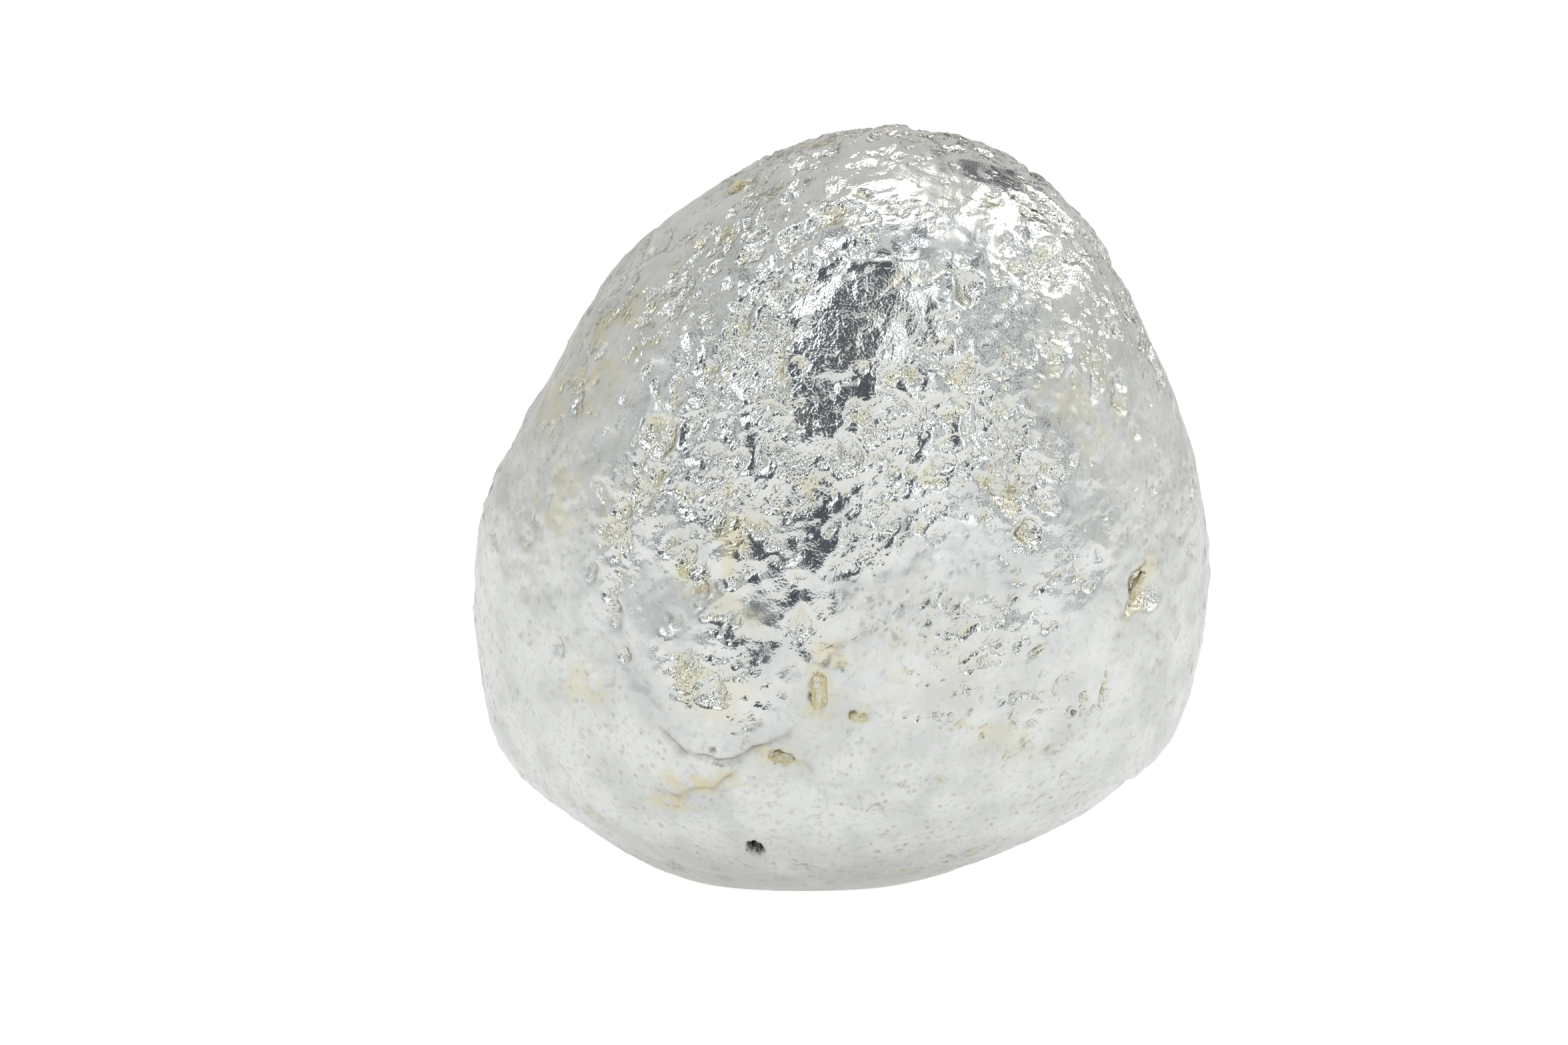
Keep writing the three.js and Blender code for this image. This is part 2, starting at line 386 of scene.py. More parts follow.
@dataclass(frozen=True)
class WhiteMetal:
    """Worn white metal: burnished high ground, sparkling hollows and a thin yellow tarnish.

    Lengths are in millimetres, and relief is the height of the bumps finer than the mesh.
    """

    bright: Colour = (0.715, 0.728, 0.712)
    dull: Colour = (0.60, 0.615, 0.60)
    # Grey of painted shade, laid in low spots, pricks and towards the foot.
    shade_grey: Colour = (0.44, 0.445, 0.42)
    tarnish: Colour = (0.67, 0.61, 0.39)
    # Near-black painted shade for the pinhole, some small pits and the creases.
    recess_shade: Colour = (0.05, 0.04, 0.02)
    burnished_roughness: float = 0.13
    hollow_roughness: float = 0.19
    satin_roughness: float = 0.4
    blotch_length: float = 1.4
    grain_length: float = 0.2
    pebble_spacing: float = 0.14
    prick_spacing: float = 0.36
    prick_patches: float = 3.5
    drag_length: float = 0.35
    drag_stretch: float = 4.0
    drag_angle: float = 35.0
    # Height in millimetres up to which painted shade darkens the foot.
    foot_shade_height: float = 2.8
    relief: float = 0.042

    def material(self) -> bpy.types.Material:
        """The metal's material, driven by what the skin stores on its vertices.

        Returns:
            A material that reads hollow, tarnish, the near-black painted shade, drag and satin.
        """
        material, tree = new_material("white_metal_finish")
        place = tree.skin_place()
        hollow, satin = tree.attribute("hollow"), tree.attribute("satin")
        grain = tree.noise(place, self.grain_length, 3.0, 0.6)
        stain = (tree.attribute("tarnish") * (0.45 + 0.9 * grain)).clamp()
        pricks = 1.0 - tree.cells(place, self.prick_spacing).step(0.08, 0.3)
        pricks = pricks * tree.noise(place, self.prick_patches, 2.0).step(0.4, 0.58)
        rough = self.burnished_roughness + (grain - 0.5) * 0.1
        rough = rough + hollow * (self.hollow_roughness - self.burnished_roughness)
        rough = rough + satin * (self.satin_roughness - self.burnished_roughness)
        height = (0.35 + 0.3 * hollow) * (1.0 - 0.35 * satin) * grain
        height = height - self._pebbles(tree, place, hollow, satin) + self._drags(tree, place)
        height = height - pricks * (0.3 + 0.35 * hollow)
        tree.surface(
            {
                "Base Color": self._colour(tree, place, grain, pricks, stain),
                "Metallic": 1.0,
                "Roughness": (rough + stain * 0.08).clamp(),
                "Normal": tree.bump(height, self.relief),
            }
        )
        return material

    def _colour(
        self, tree: Weaver, place: Wire, grain: Wire, pricks: Wire, stain: Wire
    ) -> Wire:
        """Blotchy metal under painted shade in low spots, in pricks and by the foot, then stain
        and near-black painted shade.

        Args:
            tree: where the nodes go.
            place: the place on the skin.
            grain: the fine noise of the surface, from 0 to 1.
            pricks: 1 in a prick.
            stain: how tarnished it is, from 0 to 1.

        Returns:
            The colour.
        """
        blotch = tree.noise(place, self.blotch_length, 4.0).step(0.35, 0.7)
        up = tree.node("ShaderNodeSeparateXYZ", {}, {0: place}, output=2)
        # Painted shade: darker in the low spots of the fine grain, in the pricks and towards the
        # foot, most on satin ground.
        painted_shade = (1.0 - grain.step(0.3, 0.5)) * 0.42 + pricks * 0.6
        painted_shade = painted_shade + (1.0 - up.step(0.0, self.foot_shade_height)) * 0.9
        painted_shade = (painted_shade * (0.35 + 0.65 * tree.attribute("satin"))).clamp()
        metal = tree.blend(painted_shade, tree.blend(blotch, self.bright, self.dull), self.shade_grey)
        metal = tree.blend(stain, metal, self.tarnish)
        # Near-black painted shade in the pinhole, small pits and creases.
        return tree.blend(tree.attribute("recess_shade"), metal, self.recess_shade)

    def _pebbles(self, tree: Weaver, place: Wire, hollow: Wire, satin: Wire) -> Wire:
        """Pebbles and grit in the hollows, and a little grit wherever the skin isn't satin.

        Args:
            tree: where the nodes go.
            place: the place on the skin.
            hollow: how hollow it is, from 0 to 1.
            satin: how satin it is, from 0 to 1.

        Returns:
            How far they lower the surface, as a share of the relief.
        """
        pebbles = tree.cells(place, self.pebble_spacing)
        grit = tree.cells(place, self.pebble_spacing * 0.55)
        return hollow * (pebbles * 0.8 + grit * 0.35) + (1.0 - satin) * grit * 0.14

    def _drags(self, tree: Weaver, place: Wire) -> Wire:
        """Slanting drag marks: a noise drawn out along the drag angle.

        Args:
            tree: where the nodes go.
            place: the place on the skin.

        Returns:
            Their height, as a share of the relief.
        """
        turn = (0.0, math.radians(-self.drag_angle), 0.0)
        inputs = {"Vector": place, "Rotation": turn, "Scale": (self.drag_stretch, 1.0, 1.0)}
        slanted = tree.node("ShaderNodeMapping", {"vector_type": "TEXTURE"}, inputs)
        return tree.attribute("drag") * tree.noise(slanted, self.drag_length, 3.0, 0.6) * 0.55


@dataclass(frozen=True)
class MineralFinish:
    """A cloudy mineral: pale and deep patches, darker specks and glassy spots."""

    name: str
    pale: Colour
    deep: Colour
    speck: Colour
    roughness: float
    cloud_length: float = 0.26
    speck_length: float = 0.09
    relief: float = 0.035

    def material(self) -> bpy.types.Material:
        """The mineral's material.

        Returns:
            A material with clouds, specks, varying gloss and a fine bump.
        """
        material, tree = new_material(f"{self.name}_finish")
        place = tree.skin_place()
        clouds = tree.noise(place, self.cloud_length, 4.0, 0.7)
        specks = tree.noise(place, self.speck_length, 2.0, 0.5)
        colour = tree.blend(clouds.step(0.42, 0.56), self.pale, self.deep)
        colour = tree.blend(specks.step(0.6, 0.72) * 0.7, colour, self.speck)
        rough = (self.roughness + (clouds - 0.5) * 0.5).clamp()
        tree.surface(
            {
                "Base Color": colour,
                "Roughness": rough,
                "Normal": tree.bump(clouds + specks * 0.5, self.relief),
                "IOR": 1.6,
                "Coat Weight": 0.35,
                "Coat Roughness": 0.15,
            }
        )
        return material


class Mineral(Enum):
    """The kinds of mineral. Each has its finish, and its name names the finish's material."""

    STRAW = MineralFinish(
        "straw_mineral", (0.68, 0.66, 0.54), (0.60, 0.54, 0.27), (0.42, 0.33, 0.15), 0.4
    )
    AMBER = MineralFinish(
        "amber_mineral", (0.62, 0.60, 0.50), (0.53, 0.45, 0.24), (0.32, 0.24, 0.12), 0.2
    )
    OLIVE = MineralFinish(
        "olive_mineral", (0.70, 0.68, 0.52), (0.58, 0.53, 0.26), (0.34, 0.29, 0.13), 0.3
    )
    TAN = MineralFinish(
        "tan_mineral", (0.62, 0.58, 0.46), (0.50, 0.43, 0.25), (0.32, 0.25, 0.14), 0.45
    )


# ---------------------------------------------------------------- the lump


@dataclass(frozen=True)
class Swell:
    """A broad swell, or a hollow where rise is negative, that fades over spread degrees."""

    longitude: float
    latitude: float
    spread: float
    rise: float


@dataclass
class NuggetForm:
    """The lump without its fine relief: two half eggs joined at the girth, each leaning."""

    height: float = 22.8
    width: float = 22.0
    depth: float = 19.6
    girth_height: float = 9.4
    foot_wear: float = 0.42
    top_taper: float = 0.21
    base_fullness: float = 0.29
    crown_offset: tuple[float, float] = (1.5, -3.2)
    foot_offset: tuple[float, float] = (-1.25, 0.5)
    swells: tuple[Swell, ...] = (
        Swell(90, 40, 15, -0.26),
        Swell(-90, 27, 13, -0.54),
        Swell(-90, -28, 15, 0.3),
        Swell(-90, -50, 15, -0.4),
        Swell(90, -57, 12, -0.48),
        Swell(80, -20, 20, 0.16),
        Swell(-24, -20, 15, 0.5),
        Swell(6, 52, 14, 0.45),
    )
    scale: np.ndarray = field(init=False)
    shift: np.ndarray = field(init=False)

    def __post_init__(self) -> None:
        """Works out the fit once."""
        self.scale, self.shift = self._fit()

    def loose_points(self, directions: np.ndarray) -> np.ndarray:
        """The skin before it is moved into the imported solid's box, in millimetres.

        With s the size of a direction's upward part, a level ellipse shrinks with the
        direction's level part and leans by the offset times s squared. The top rises as
        s(1 - taper(1 - s)) and the base falls as s(1 + fullness(1 - s)). Each swell then adds
        rise times exp(-(angle / spread)^2) along the direction.

        Args:
            directions: unit directions, one to a row.

        Returns:
            A point for each direction.
        """
        up = directions[:, 2]
        share = np.abs(up)
        above = (up >= 0)[:, None]
        offset = np.where(above, self.crown_offset, self.foot_offset)
        half = np.array((self.width, self.depth)) / 2
        level = directions[:, :2] * half + offset * (share * share)[:, None]
        rise = (self.height - self.girth_height) * share * (1 - self.top_taper * (1 - share))
        drop = self.girth_height + self.foot_wear
        fall = drop * share * (1 + self.base_fullness * (1 - share))
        height = self.girth_height + np.where(above[:, 0], rise, -fall)
        points = np.column_stack((level, height))
        for swell in self.swells:
            middle = direction_at(swell.longitude, swell.latitude)
            angle = np.degrees(np.arccos(np.clip(directions @ middle, -1.0, 1.0)))
            lift = swell.rise * np.exp(-((angle / swell.spread) ** 2))
            points += directions * lift[:, None]
        return points

    def points(self, directions: np.ndarray) -> np.ndarray:
        """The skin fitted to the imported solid's box, in millimetres.

        Args:
            directions: unit directions, one to a row.

        Returns:
            A point for each direction; those below the foot have a negative height.
        """
        return self.loose_points(directions) * self.scale + self.shift

    def _fit(self) -> tuple[np.ndarray, np.ndarray]:
        """The scale and shift along each axis that bring the loose skin into the box."""
        lowest, highest = (np.array(corner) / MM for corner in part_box(BODY_NODE))
        around, up = np.meshgrid(np.linspace(-180, 180, 361), np.linspace(-90, 90, 181))
        around, up = np.radians(around.ravel()), np.radians(up.ravel())
        level = np.cos(up)
        rays = np.column_stack((np.sin(around) * level, -np.cos(around) * level, np.sin(up)))
        loose = self.loose_points(rays)
        low, high = loose.min(axis=0), loose.max(axis=0)
        low[2] = 0.0
        scale = (highest - lowest) / (high - low)
        return scale, lowest - low * scale

    def normals(self, directions: np.ndarray) -> np.ndarray:
        """Outward normals, from the skin a small step away along two directions.

        Args:
            directions: unit directions, one to a row.

        Returns:
            A unit normal for each direction.
        """
        step = 0.004
        helper = np.where(np.abs(directions[:, 2:]) < 0.9, (0.0, 0.0, 1.0), (1.0, 0.0, 0.0))
        side = unit(np.cross(helper, directions))
        other = np.cross(directions, side)
        first, second = (
            self.points(unit(directions + way * step)) - self.points(unit(directions - way * step))
            for way in (side, other)
        )
        return unit(np.cross(first, second))

    def tangent_frame(self, longitude: float, latitude: float, turn: float) -> "SkinFrame":
        """The skin's own axes at a place, turned anticlockwise as seen from outside.

        Args:
            longitude: degrees round from the front.
            latitude: degrees up from the girth.
            turn: degrees.

        Returns:
            The frame there.
        """
        direction = direction_at(longitude, latitude)[None, :]
        out = self.normals(direction)[0]
        across = unit(np.cross((0.0, 0.0, 1.0), out))
        along = np.cross(out, across)
        angle = math.radians(turn)
        turned = across * math.cos(angle) + along * math.sin(angle)
        return SkinFrame(self.points(direction)[0], turned, np.cross(out, turned), out)


@dataclass(frozen=True)
class SkinFrame:
    """A place on the skin with three axes: across, along and out."""

    centre: np.ndarray
    across: np.ndarray
    along: np.ndarray
    out: np.ndarray
    most_off: float = 3.0

    def flat(self, points: np.ndarray) -> tuple[np.ndarray, np.ndarray]:
        """How far points lie across and along from the centre.

        Args:
            points: places in millimetres.

        Returns:
            Two distances for each point, out of reach where it is on the lump's other side.
        """
        reach = points - self.centre
        behind = np.where(np.abs(reach @ self.out) > self.most_off, OUT_OF_REACH, 0.0)
        return reach @ self.across + behind, reach @ self.along + behind


@dataclass(frozen=True)
class Pit:
    """An oval pit, with half sizes across and along and a raised lip."""

    longitude: float
    latitude: float
    across: float
    along: float
    depth: float
    turn: float
    lip: float = 0.03
    steep: float = 2.0
    tarnish: float = 0.0
    # How much near-black painted shade fills the pit.
    recess_shade: float = 0.0
    ragged: bool = True


@dataclass(frozen=True)
class Crease:
    """A fold in the skin that bends through three places, deeper on its under side."""

    places: tuple[tuple[float, float], ...]
    width: float
    depth: float
    step: float
    tarnish: float = 0.0
    # How much near-black painted shade lies along the fold.
    recess_shade: float = 0.0


@dataclass(frozen=True)
class Patch:
    """A soft-edged part of the skin where something is stronger, fading over its spread."""

    longitude: float
    latitude: float
    across: float
    along: float
    amount: float


@dataclass
class Skin:
    """What the relief works out for every vertex."""

    height: np.ndarray
    hollow: np.ndarray
    tarnish: np.ndarray
    # How much near-black painted shade each vertex takes.
    recess_shade: np.ndarray
    drag: np.ndarray
    satin: np.ndarray


@dataclass
class NuggetBody:
    """The lump of white metal, as one closed skin."""

    form: NuggetForm
    grains: Sequence["Grain"]
    finish: WhiteMetal = WhiteMetal()
    divisions: int = 128
    draw_forward: float = 0.3
    crease_steps: int = 40
    bend: float = 0.075
    least_open: float = 0.04
    deepest_hollow: float = 0.3
    deepest_pore: float = 0.4
    lip_height: float = 0.014
    pebble_height: float = 0.05
    pebble_spacing: float = 0.27
    # A pit's tenth value and a crease's last are how much near-black painted shade they take.
    pits: tuple[Pit, ...] = (
        Pit(54, 0, 0.84, 0.64, 0.22, -25, 0.04, 3.5, 0.2, 0.0, False),
        Pit(-14.5, -46, 0.25, 0.42, 0.6, 0, 0.0, 4.0, 0.3, 1.0, False),
        Pit(-34, 24, 0.66, 0.58, 0.2, 0, 0.06, 5.0, 0.6),
        Pit(20.5, 32, 0.46, 0.42, 0.17, 0, 0.08, 4.0, 0.35),
        Pit(-0.5, 22.2, 0.42, 0.62, 0.24, 10, 0.05),
        Pit(-21, 17.6, 0.34, 0.3, 0.16, 0, 0.04),
        Pit(-37.4, 13.1, 0.36, 0.36, 0.15, 0, 0.04, 2.0, 0.5),
        Pit(31.2, -7.2, 0.26, 0.2, 0.12, 20, 0.02, 2.0, 0.4),
        Pit(33.5, -3.4, 0.2, 0.24, 0.12, 0, 0.02, 2.0, 0.3),
        Pit(27.4, 3.0, 0.2, 0.16, 0.1, 0, 0.02, 2.0, 0.4),
        Pit(43, 5.6, 0.18, 0.18, 0.1, 0, 0.02),
        Pit(41, -17.4, 0.14, 0.16, 0.12, 0, 0.01, 2.0, 0.2, 0.5),
        Pit(45, -28.6, 0.16, 0.14, 0.1, 0, 0.01),
        Pit(-19.5, -20.9, 0.12, 0.12, 0.14, 0, 0.0, 2.0, 0.0, 0.6),
        Pit(-35.8, -7.8, 0.24, 0.18, 0.12, 30, 0.02, 2.0, 0.3),
        Pit(-11.2, -11, 0.22, 0.18, 0.12, 0, 0.02),
    )
    creases: tuple[Crease, ...] = (
        Crease(((-32.1, -14.9), (-18.9, -22.8), (-4.4, -15.1)), 0.16, 0.16, 0.13, 0.1, 0.4),
        Crease(((-33.6, -31.0), (-23.5, -29.4), (-12.5, -22.2)), 0.17, 0.16, 0.12, 0.9, 0.15),
        Crease(((-23.6, -30.4), (-18.0, -29.2), (-13.5, -27.0)), 0.16, 0.1, 0.04, 0.4),
        Crease(((-7.2, -23.0), (-5.0, -24.4), (-3.1, -25.9)), 0.14, 0.1, 0.04, 0.2, 0.2),
        Crease(((-38.0, 3.0), (-35.0, -7.0), (-27.0, -15.0)), 0.3, 0.09, 0.1, 0.0, 0.15),
        Crease(((108.0, -25.0), (84.0, -30.0), (56.0, -38.0)), 0.5, 0.36, 0.3),
        Crease(((-96.0, 40.0), (-78.0, 49.0), (-56.0, 54.0)), 0.4, 0.14, 0.12),
        Crease(((98.0, 46.0), (76.0, 50.0), (58.0, 56.0)), 0.4, 0.16, 0.1),
    )
    porous: tuple[Patch, ...] = (
        Patch(0, 36, 40, 30, 1.0),
        Patch(0, 80, 150, 26, 0.95),
        Patch(-24, 14, 19, 17, 1.0),
        Patch(-14, 0, 15, 12, 0.9),
        Patch(-19, -11, 10, 8, 1.0),
        Patch(20, 22, 27, 15, 0.95),
        Patch(23, -4, 12, 6, 0.9),
        Patch(42, 52, 40, 22, 1.0),
        Patch(-52, 48, 30, 16, 0.85),
        Patch(-66, 30, 12, 12, 0.7),
        Patch(17, -19, 8, 5, 0.75),
        Patch(34, 8, 16, 8, 0.6),
        Patch(36, -12, 14, 7, 0.5),
        Patch(62, 30, 20, 16, 0.6),
        Patch(-1, 9, 13, 6, 1.0),
        Patch(-38, -1, 2.5, 7, 0.95),
        Patch(13, -7, 18, 12, 0.58),
        Patch(-28, -5, 3, 4, 0.8),
    )
    worn: tuple[Patch, ...] = (
        Patch(-2, 40, 9, 7, 0.95),
        Patch(-6.6, 29, 5, 4, 0.8),
        Patch(-20, 9, 4, 3, 0.6),
        Patch(-29, 12, 4, 3, 0.6),
        Patch(-12, 15, 5, 2, 0.5),
        Patch(-33, -1, 4, 4, 0.8),
        Patch(-10, 1, 5, 3, 0.5),
        Patch(48, 68, 10, 6, 0.4),
        Patch(12, 66, 12, 4, 0.45),
        Patch(30, 44, 6, 4, 0.4),
        Patch(0, 52, 8, 3, 0.45),
    )
    pebbled: tuple[Patch, ...] = (Patch(-2, 40, 9, 8, 0.3), Patch(-6.6, 29, 6, 6, 0.3))
    stains: tuple[Patch, ...] = (
        Patch(-22.9, -27.1, 6, 3, 0.85),
        Patch(-29.8, -33.0, 4, 2, 0.9),
        Patch(12, -6, 15, 11, 0.22),
        Patch(-17.2, 7.9, 4, 7, 0.7),
        Patch(31.1, -19.8, 10, 6, 0.3),
        Patch(-53.8, 14.5, 8, 8, 0.45),
        Patch(-37.4, 13.1, 6, 6, 0.5),
        Patch(7.8, 44.9, 3, 3, 0.8),
        Patch(31.4, 61.1, 6, 4, 0.5),
        Patch(-44.8, -13.5, 5, 4, 0.5),
        Patch(-16.4, -0.1, 6, 4, 0.4),
        Patch(-62, 34, 14, 12, 0.6),
        Patch(44, 30, 12, 12, 0.35),
        Patch(-19, -13, 6, 4, 0.4),
        Patch(-3.5, -12, 4, 5, 0.45),
        Patch(-2.0, -6.5, 3, 2, 0.7),
        Patch(-23.5, 3.5, 4, 3, 0.5),
        Patch(-9, -23, 5, 3, 0.35),
    )
    dragged: tuple[Patch, ...] = (Patch(28, -1, 22, 14, 1.0), Patch(30, -18, 16, 10, 0.6))

    def build(self) -> bpy.types.Object:
        """Makes the skin, stores what its material reads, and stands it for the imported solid.

        Returns:
            The finished piece.
        """
        rays, quads = self._grid()
        base = self.form.points(rays)
        skin = self._skin(rays, base)
        points = base + self.form.normals(rays) * skin.height[:, None]
        points[:, 2] = np.maximum(points[:, 2], 0.0)
        body = new_piece("worn_nugget", points, quads)
        for name in ("hollow", "tarnish", "recess_shade", "drag", "satin"):
            store(body, name, getattr(skin, name))
        body.data.materials.append(self.finish.material())
        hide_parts(BODY_NODE)
        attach(body, ROOT)
        report(body)
        return body

    def _grid(self) -> tuple[np.ndarray, np.ndarray]:
        """Six square grids blown up to a sphere and drawn towards the front.

        A grid point at s, t on a cube's face, from -1 to 1, takes the direction
        (tan(45 s), tan(45 t), 1), which keeps the squares nearly even. Points that two or
        three faces share are merged, so the skin has no seam and no pole.

        Returns:
            Unit directions, and the corner numbers of each square.
        """
        line = np.tan(np.linspace(-1.0, 1.0, self.divisions + 1) * math.pi / 4)
        first, second = np.meshgrid(line, line, indexing="ij")
        sheet = np.stack((first, second, np.ones_like(first)), axis=-1).reshape(-1, 3)
        turns = np.array(
            (
                ((1, 0, 0), (0, 1, 0), (0, 0, 1)),
                ((0, 1, 0), (1, 0, 0), (0, 0, -1)),
                ((0, 1, 0), (0, 0, 1), (1, 0, 0)),
                ((0, 0, 1), (0, 1, 0), (-1, 0, 0)),
                ((0, 0, 1), (1, 0, 0), (0, 1, 0)),
                ((1, 0, 0), (0, 0, 1), (0, -1, 0)),
            ),
            float,
        )
        rays = unit(np.concatenate([sheet @ turn for turn in turns]))
        across = self.divisions + 1
        row, column = np.meshgrid(*(np.arange(self.divisions),) * 2, indexing="ij")
        corner = (row * across + column).ravel()
        square = np.column_stack((corner, corner + across, corner + across + 1, corner + 1))
        quads = np.concatenate([square + face * across**2 for face in range(len(turns))])
        _, kept, number = np.unique(
            np.round(rays, 6) + 0.0, axis=0, return_index=True, return_inverse=True
        )
        drawn = unit(rays[kept] + np.array((0.0, -self.draw_forward, 0.0)))
        return drawn, number.ravel()[quads]

    @staticmethod
    def _patches(rays: np.ndarray, patches: Sequence[Patch]) -> np.ndarray:
        """The strongest of some soft patches: amount times exp(-r^4), r being 1 at the edge.

        Args:
            rays: the direction of each vertex.
            patches: their places, sizes and amounts.

        Returns:
            An amount for each vertex.
        """
        around = np.degrees(np.arctan2(rays[:, 0], -rays[:, 1]))
        up = np.degrees(np.arcsin(np.clip(rays[:, 2], -1.0, 1.0)))
        best = np.zeros(len(rays))
        for patch in patches:
            turned = (around - patch.longitude + 180.0) % 360.0 - 180.0
            level = turned * math.cos(math.radians(patch.latitude))
            reach = (level / patch.across) ** 2 + ((up - patch.latitude) / patch.along) ** 2
            best = np.maximum(best, patch.amount * np.exp(-reach * reach))
        return best

    def _skin(self, rays: np.ndarray, base: np.ndarray) -> Skin:
        """Adds up the relief and what goes with it.

        Args:
            rays: the direction of each vertex.
            base: its place on the plain form.

        Returns:
            Heights in millimetres and the attributes of each vertex.
        """
        wander = layered(base, 6.0, 2, 0.5, 3)
        bent = self._bent(base)
        open_ground = self._open_ground(rays, base, wander)
        porous = np.maximum(open_ground - self._patches(rays, self.worn), self.least_open)
        pebbles = 0.55 - nearest(bent, self.pebble_spacing, 19)
        height, hollow = self._hollows(rays, base, bent, porous, pebbles)
        pores = self._pores(bent, porous)
        height += self._plates(bent, porous, wander) + pores
        hollow = np.maximum(hollow, ease(0.01, 0.07, -pores) * 0.8)
        broken = ease(-0.6, 0.9, layered(base, 0.9, 3, 0.7, 41))
        tint = ease(0.1, 1.5, layered(base, 1.1, 3, 0.7, 43))
        stained = self._patches(rays, self.stains) * broken
        tarnish = np.maximum(stained, hollow * (0.12 + 0.5 * tint))
        # Near-black painted shade from the pits and creases.
        recess_shade = np.zeros(len(base))
        for pit in self.pits:
            cut, inside = self._pit(bent if pit.ragged else base, pit)
            height = height * (1 - 0.45 * inside) + cut
            height += 0.06 * inside * pebbles
            hollow = np.maximum(hollow, 0.9 * inside)
            open_ground = np.maximum(open_ground, inside)
            tarnish = np.maximum(tarnish, pit.tarnish * inside * (0.4 + 0.8 * broken))
            recess_shade = np.maximum(recess_shade, pit.recess_shade * inside)
        for crease in self.creases:
            fold, near = self._crease(bent, crease)
            height += fold
            tarnish = np.maximum(tarnish, crease.tarnish * near * broken)
            recess_shade = np.maximum(recess_shade, crease.recess_shade * near)
        for grain in self.grains:
            height, hollow, tarnish = grain.seat(self.form, bent, height, hollow, tarnish)
        height *= ease(-0.1, 0.9, base[:, 2])
        drag = self._patches(rays, self.dragged)
        satin = 1.0 - ease(0.15, 0.75, open_ground)
        return Skin(height, hollow, tarnish, recess_shade, drag, satin)

    def _open_ground(self, rays: np.ndarray, base: np.ndarray, wander: np.ndarray) -> np.ndarray:
        """How open the metal was before it was worn, up to 1.

        It is the placed patches plus noise in front. Round the back it is open where the
        wander is high, and closes towards the foot.

        Args:
            rays: the direction of each vertex.
            base: its place on the plain form.
            wander: a slow noise there.

        Returns:
            The openness of each vertex.
        """
        front = ease(-0.25, 0.25, -rays[:, 1])
        elsewhere = ease(-0.7, 0.9, wander) * ease(4.0, 9.0, base[:, 2]) * (1 - front)
        placed = self._patches(rays, self.porous)
        placed += 0.16 * layered(base, 2.4, 2, 0.6, 5) + 0.12 * wander - 0.08
        return np.clip(np.maximum(placed, elsewhere), self.least_open, 1.0)

    def _hollows(
        self,
        rays: np.ndarray,
        base: np.ndarray,
        bent: np.ndarray,
        porous: np.ndarray,
        pebbles: np.ndarray,
    ) -> tuple[np.ndarray, np.ndarray]:
        """Hollows with pebbled floors: ground that lies below a sea level is sunk.

        The ground is two noises, and the sea rises with the porosity. A thin lip follows the
        shore, exp(-(r / 0.2)^2) with r the height above it, and narrow bridges of high
        ground cross the hollows.

        Args:
            rays: the direction of each vertex.
            base: its place on the plain form.
            bent: the same place, bent.
            porous: how porous the metal is there.
            pebbles: the height of a pebble there, about -0.4 to 0.5.

        Returns:
            Heights in millimetres, and how hollow each vertex is, from 0 to 1.
        """
        ground = 0.5 * layered(base, 1.9, 2, 0.7, 11) + 0.85 * layered(bent, 0.55, 3, 0.85, 15)
        sea = -1.75 + 2.15 * porous
        bridges = np.exp(-((waves(bent, 1.25, 61) / 0.055) ** 2))
        sunk = np.maximum(sea - ground, 0.0) * (1 - 0.85 * bridges)
        hollow = np.maximum(ease(0.05, 0.7, sunk), self._patches(rays, self.pebbled))
        lip = np.exp(-(((ground - sea - 0.15) / 0.2) ** 2)) * ease(0.1, 0.5, porous)
        height = self.lip_height * lip + self.pebble_height * hollow * pebbles
        return height - soft_stop(sunk * 0.07, self.deepest_hollow), hollow

    @staticmethod
    def _plates(bent: np.ndarray, porous: np.ndarray, wander: np.ndarray) -> np.ndarray:
        """The high ground: slow swells, crumpled facets, and small bumps worn off flat.

        Args:
            bent: places on the plain form, bent.
            porous: how porous the metal is there.
            wander: a slow noise there.

        Returns:
            Heights in millimetres.
        """
        facets = (0.015 + 0.03 * porous) * layered(bent, 1.3, 2, 0.7, 31)
        bumps = 0.015 * np.minimum(layered(bent, 0.5, 2, 0.8, 33), 0.6)
        return 0.03 * wander + facets + bumps - 0.04

    def _bent(self, base: np.ndarray) -> np.ndarray:
        """The places moved a little by noise, so that what is drawn on them turns out ragged."""
        wide = [layered(base, 0.9, 2, 0.6, seed) for seed in (51, 52, 53)]
        return base + self.bend * np.stack(wide, axis=1)

    def _pores(self, base: np.ndarray, porous: np.ndarray) -> np.ndarray:
        """Small round pores in three sizes: a parabola inside, and a thin raised lip outside.

        Args:
            base: places on the plain form.
            porous: how porous the metal is there, from 0 to 1.

        Returns:
            Their heights in millimetres, negative inside a pore.
        """
        total = np.zeros(len(base))
        for spacing, common, seed in ((1.9, 0.4, 201), (1.05, 0.55, 202), (0.6, 0.6, 203)):

            def shape(
                gap: np.ndarray,
                own: Callable[[int], np.ndarray],
                spacing: float = spacing,
                common: float = common,
            ) -> np.ndarray:
                """One pore of its own radius, there where its number is low enough."""
                radius = spacing * (0.15 + 0.17 * own(1))
                there = ease(0.0, 0.15, common * (0.36 + 0.7 * porous) - own(2))
                share = gap / radius
                bowl = np.maximum(1.0 - share * share, 0.0)
                lip = np.exp(-(((share - 1.1) / 0.16) ** 2))
                return there * radius * (0.06 * lip - 0.5 * bowl)

            pores = scattered(base, spacing, seed, shape)
            total += np.where(pores < 0, soft_stop(pores, self.deepest_pore), pores)
        return total

